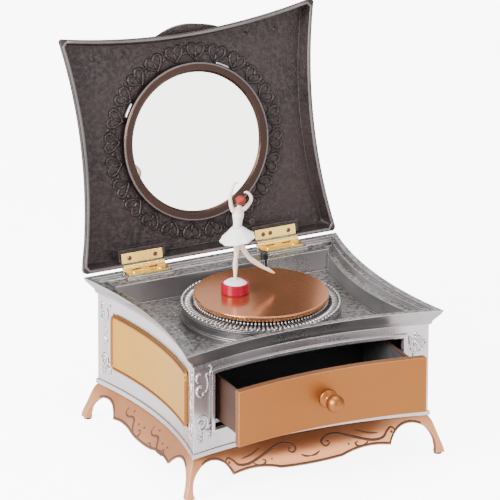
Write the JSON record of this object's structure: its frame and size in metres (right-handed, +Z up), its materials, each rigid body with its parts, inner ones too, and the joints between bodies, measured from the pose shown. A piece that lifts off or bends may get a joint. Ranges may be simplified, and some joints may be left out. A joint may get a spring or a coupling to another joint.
{
  "type": "ballerina jewellery box",
  "caption": "Footed musical jewellery box with hollow sides, a mirrored hinged lid, a turntable with a magnetic dancer, a lined drawer and a wind-up movement.",
  "frame": {"origin": "on the floor, in the middle of the whole object's box with the lid up and the drawer part open", "axes": "+Z up, -Y towards the drawer front, +X to the right seen from the front"},
  "size_m": [0.151, 0.1887, 0.2045],
  "materials": {
    "rose_copper": "antique rose copper plating, dark patina in the engraving",
    "felt": "black felt pad",
    "silver": "satin pewter silver plating",
    "tray_silver": "stippled pewter silver",
    "gilt": "satin gold lacquer",
    "board": "painted fibreboard",
    "steel": "plain steel",
    "spring_steel": "blued spring steel",
    "cast_zinc": "nickelled zinc casting",
    "brass": "bright brass",
    "platform_grey": "dark pewter silver",
    "dark_bronze": "dark bronze with a stippled panel",
    "ring_bronze": "bronze with a copper rub on its edge",
    "mirror_glass": "silvered glass",
    "drawer_copper": "satin copper lacquer",
    "drawer_brown": "brown lacquer",
    "velvet": "black velvet",
    "disc_copper": "satin copper",
    "white_plastic": "moulded fly",
    "black_plastic": "moulded plunger",
    "cup_crimson": "glossy crimson",
    "magnet": "ferrite magnet",
    "filling_white": "white filling",
    "doll_ivory": "ivory doll plastic",
    "doll_dress": "white moulded dress",
    "doll_hair": "red painted hair"
  },
  "bodies": {
    "case": {"base_stand": "rose_copper", "foot_pads": "felt", "waist_moulding": "silver", "case_body": "silver", "side_panel_right": "gilt", "side_panel_left": "gilt", "drawer_frame": "silver", "drawer_shelf": "silver", "rear_partition": "board", "bottom_cover": "board", "bottom_screws": "steel", "top_tray": "tray_silver", "turntable_platform": "platform_grey", "turntable_bush": "brass", "bedplate": "steel", "movement_screws": "steel", "spring_barrel": "brass", "mainspring": "spring_steel", "cylinder_brackets": "steel", "music_comb": "spring_steel", "comb_block": "cast_zinc", "comb_screws": "steel", "hinge_leaves_case": "brass", "hinge_pins": "brass", "hinge_screws_case": "brass", "stop_spring": "spring_steel"},
    "lid": {"lid_shell": "dark_bronze", "lid_tab": "dark_bronze", "mirror": "mirror_glass", "mirror_backing": "board", "mirror_ring": "ring_bronze", "hinge_leaves_lid": "brass", "hinge_screws_lid": "brass"},
    "drawer": {"drawer_front": "drawer_copper", "drawer_tray": "drawer_brown", "drawer_lining": "velvet", "drawer_knob": "gilt", "knob_screw": "steel"},
    "turntable": {"turntable_disc": "disc_copper", "turntable_shaft": "steel", "turntable_gear": "brass", "shaft_clip": "spring_steel"},
    "winding_drive": {"winding_arbor": "steel", "drive_gear": "brass", "crown_wheel": "brass", "winding_key": "cast_zinc"},
    "music_cylinder": {"cylinder_arbor": "steel", "pin_cylinder": "brass", "cylinder_pinion": "brass", "cylinder_gear": "brass"},
    "governor": {"fly_arbor": "steel", "fly_pinion": "brass", "fly_blades": "white_plastic"},
    "stop": {"stop_plunger": "black_plastic"},
    "dancer": {"dancer_cup": "cup_crimson", "cup_magnet": "magnet", "cup_filling": "filling_white", "dancer_figure": "doll_ivory", "dancer_tutu": "doll_dress", "dancer_hair": "doll_hair"}
  },
  "joints": [
    {"name": "lid_hinge", "type": "hinge", "parent": "case", "child": "lid", "pos_m": [0, 0.05661, 0.0815], "axis": [1, 0, 0], "range_deg": [0, 103.2]},
    {"name": "drawer_slide", "type": "slide", "parent": "case", "child": "drawer", "axis": [0, -1, 0], "range_m": [-0.028, 0.018]},
    {"name": "turntable_spin", "type": "hinge", "parent": "case", "child": "turntable", "pos_m": [0, -0.00339, 0.07], "axis": [0, 0, 1], "continuous": true},
    {"name": "winding_spin", "type": "hinge", "parent": "case", "child": "winding_drive", "pos_m": [0, 0.01861, 0.04], "axis": [0, 0, 1], "continuous": true},
    {"name": "cylinder_spin", "type": "hinge", "parent": "case", "child": "music_cylinder", "pos_m": [0.03, 0.01861, 0.04517], "axis": [1, 0, 0], "continuous": true},
    {"name": "fly_spin", "type": "hinge", "parent": "case", "child": "governor", "pos_m": [0.05, 0.01861, 0.05477], "axis": [1, 0, 0], "continuous": true},
    {"name": "stop_press", "type": "slide", "parent": "case", "child": "stop", "axis": [0, 0, -1], "range_m": [0, 0.0026], "deforming": ["stop_spring"]},
    {"name": "dancer_lift", "type": "slide", "parent": "turntable", "child": "dancer", "axis": [0, -0.9563, 0.2924], "range_m": [0, 0.1201]}
  ],
  "couplings": [
    {"joint": "winding_spin", "follows": "turntable_spin", "ratio": -1.2},
    {"joint": "cylinder_spin", "follows": "turntable_spin", "ratio": -3.6},
    {"joint": "fly_spin", "follows": "turntable_spin", "ratio": 10.8},
    {"joint": "stop_press", "follows": "lid_hinge", "m_per_rad": 0.001388},
    {"joint": "dancer_lift", "follows": "lid_hinge", "m_per_rad": 0.066623}
  ]
}
